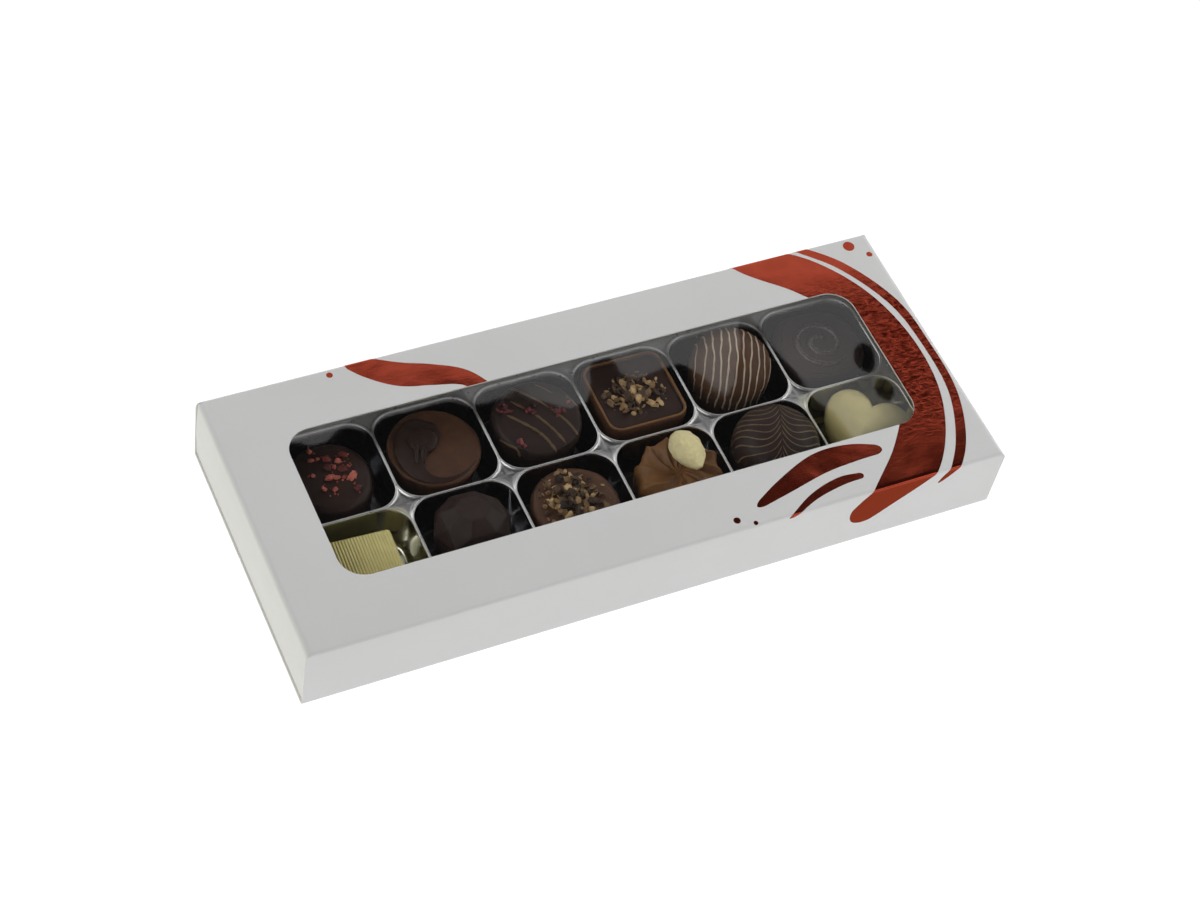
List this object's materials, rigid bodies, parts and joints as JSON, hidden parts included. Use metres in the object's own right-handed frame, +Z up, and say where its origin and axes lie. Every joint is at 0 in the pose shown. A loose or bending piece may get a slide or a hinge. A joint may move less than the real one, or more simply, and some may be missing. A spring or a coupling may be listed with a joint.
{
  "type": "box of chocolate pralines",
  "caption": "Flat white folding carton, shut, with a clear film window over a silver tray that holds assorted chocolate pralines.",
  "frame": {"origin": "middle of the carton's bottom face", "axes": "+X along the carton's length, +Y across its width to the back, +Z up, out of the window"},
  "size_m": [0.225, 0.093, 0.025],
  "materials": {
    "board": "white coated board, satin",
    "film": "thin clear plastic film",
    "silver": "silver metallised plastic, mirror-like",
    "dark_chocolate": "dark chocolate, satin",
    "milk_chocolate": "milk chocolate, satin",
    "white_chocolate": "ivory white chocolate, satin",
    "coated_almond": "pale yellow coating, matt and bumpy"
  },
  "bodies": {
    "root": {"carton": "board", "window_film": "film", "tray": "silver", "praline_back_1": "dark_chocolate", "praline_back_2": "milk_chocolate", "comma_back_2": "dark_chocolate", "praline_back_3": "dark_chocolate", "praline_back_4": "milk_chocolate", "inset_back_4": "dark_chocolate", "praline_back_5": "milk_chocolate", "praline_back_6": "dark_chocolate", "praline_front_1": "white_chocolate", "praline_front_2": "dark_chocolate", "praline_front_3": "milk_chocolate", "praline_front_4": "milk_chocolate", "almond": "coated_almond", "praline_front_5": "dark_chocolate", "praline_front_6": "white_chocolate"}
  },
  "joints": []
}
